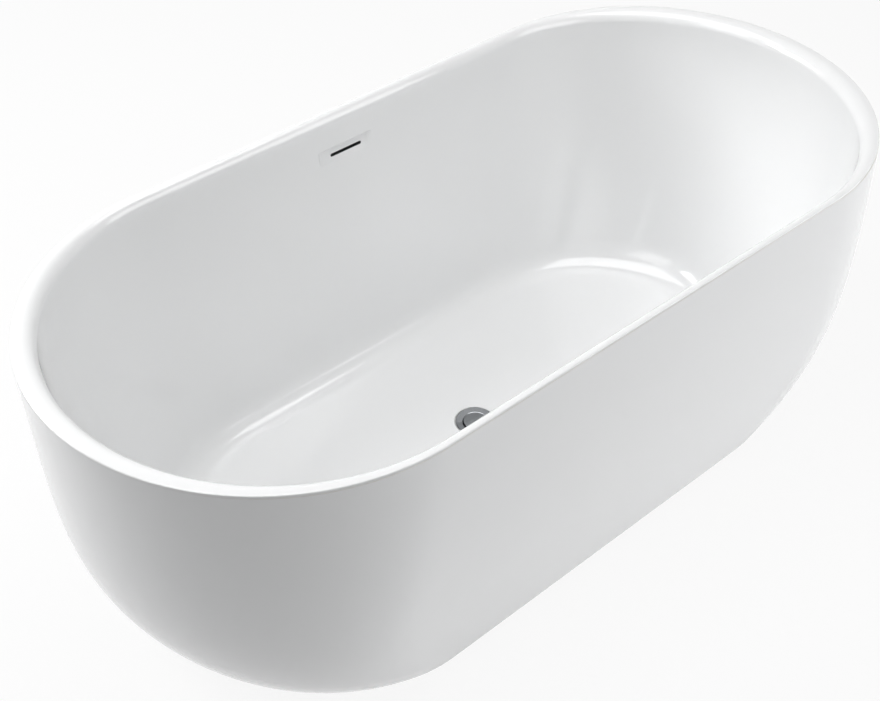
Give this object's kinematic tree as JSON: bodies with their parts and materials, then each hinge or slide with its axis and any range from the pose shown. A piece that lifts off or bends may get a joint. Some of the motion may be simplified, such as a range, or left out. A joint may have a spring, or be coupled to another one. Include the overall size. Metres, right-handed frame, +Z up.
{
  "type": "freestanding bathtub",
  "caption": "Oval double-walled freestanding soaking bathtub with a rolled rim, wall overflow slot, centre pop-up drain and a hidden under-frame on levelling feet.",
  "frame": {"origin": "on the ground, below the centre of the oval rim and of the drain", "axes": "+X along the tub's length, +Y across it towards the overflow side, +Z up"},
  "size_m": [1.7, 0.801, 0.6],
  "materials": {
    "acrylic_basin": "polished white acrylic",
    "acrylic_skirt": "polished white acrylic",
    "chrome": "polished",
    "pipe_plastic": "white moulded waste fittings",
    "dark_plastic": "dark moulded overflow chamber",
    "hose": "grey flexible hose",
    "rubber": "black rubber",
    "zinc_steel": "zinc plated",
    "painted_steel": "dark powder coat",
    "board": "resin coated chipboard"
  },
  "bodies": {
    "tub": {"inner_shell": "acrylic_basin", "outer_shell": "acrylic_skirt", "base_board": "board", "overflow_chamber": "dark_plastic", "overflow_seal": "rubber", "overflow_screw_left": "zinc_steel", "overflow_screw_right": "zinc_steel", "overflow_hose": "hose", "hose_clamp_top": "zinc_steel", "hose_clamp_bottom": "zinc_steel", "drain_flange": "chrome", "drain_seal_upper": "rubber", "drain_seal_lower": "rubber", "drain_body": "pipe_plastic", "outlet_nut": "pipe_plastic", "stopper_cartridge": "pipe_plastic", "stopper_spring": "zinc_steel", "cross_bar_left": "painted_steel", "cross_bar_middle": "painted_steel", "cross_bar_right": "painted_steel", "bar_cap_left_near": "pipe_plastic", "bar_screw_left_near": "zinc_steel", "lock_nut_left_near": "zinc_steel", "bar_cap_left_far": "pipe_plastic", "bar_screw_left_far": "zinc_steel", "lock_nut_left_far": "zinc_steel", "bar_cap_middle_near": "pipe_plastic", "bar_screw_middle_near": "zinc_steel", "lock_nut_middle_near": "zinc_steel", "bar_cap_middle_far": "pipe_plastic", "bar_screw_middle_far": "zinc_steel", "lock_nut_middle_far": "zinc_steel", "bar_cap_right_near": "pipe_plastic", "bar_screw_right_near": "zinc_steel", "lock_nut_right_near": "zinc_steel", "bar_cap_right_far": "pipe_plastic", "bar_screw_right_far": "zinc_steel", "lock_nut_right_far": "zinc_steel"},
    "stopper": {"stopper_cap": "chrome", "stopper_seal": "rubber", "stopper_stem": "zinc_steel"},
    "foot_left_near": {"foot_pad_left_near": "rubber", "foot_stud_left_near": "zinc_steel"},
    "foot_left_far": {"foot_pad_left_far": "rubber", "foot_stud_left_far": "zinc_steel"},
    "foot_middle_near": {"foot_pad_middle_near": "rubber", "foot_stud_middle_near": "zinc_steel"},
    "foot_middle_far": {"foot_pad_middle_far": "rubber", "foot_stud_middle_far": "zinc_steel"},
    "foot_right_near": {"foot_pad_right_near": "rubber", "foot_stud_right_near": "zinc_steel"},
    "foot_right_far": {"foot_pad_right_far": "rubber", "foot_stud_right_far": "zinc_steel"}
  },
  "joints": [
    {"name": "stopper_lift", "type": "slide", "parent": "tub", "child": "stopper", "axis": [0, 0, 1], "range_m": [0, 0.009], "deforming": ["stopper_spring"]},
    {"name": "foot_left_near_height", "type": "slide", "parent": "tub", "child": "foot_left_near", "axis": [0, 0, -1], "range_m": [-0.01, 0.01]},
    {"name": "foot_left_far_height", "type": "slide", "parent": "tub", "child": "foot_left_far", "axis": [0, 0, -1], "range_m": [-0.01, 0.01]},
    {"name": "foot_middle_near_height", "type": "slide", "parent": "tub", "child": "foot_middle_near", "axis": [0, 0, -1], "range_m": [-0.01, 0.01]},
    {"name": "foot_middle_far_height", "type": "slide", "parent": "tub", "child": "foot_middle_far", "axis": [0, 0, -1], "range_m": [-0.01, 0.01]},
    {"name": "foot_right_near_height", "type": "slide", "parent": "tub", "child": "foot_right_near", "axis": [0, 0, -1], "range_m": [-0.01, 0.01]},
    {"name": "foot_right_far_height", "type": "slide", "parent": "tub", "child": "foot_right_far", "axis": [0, 0, -1], "range_m": [-0.01, 0.01]}
  ]
}
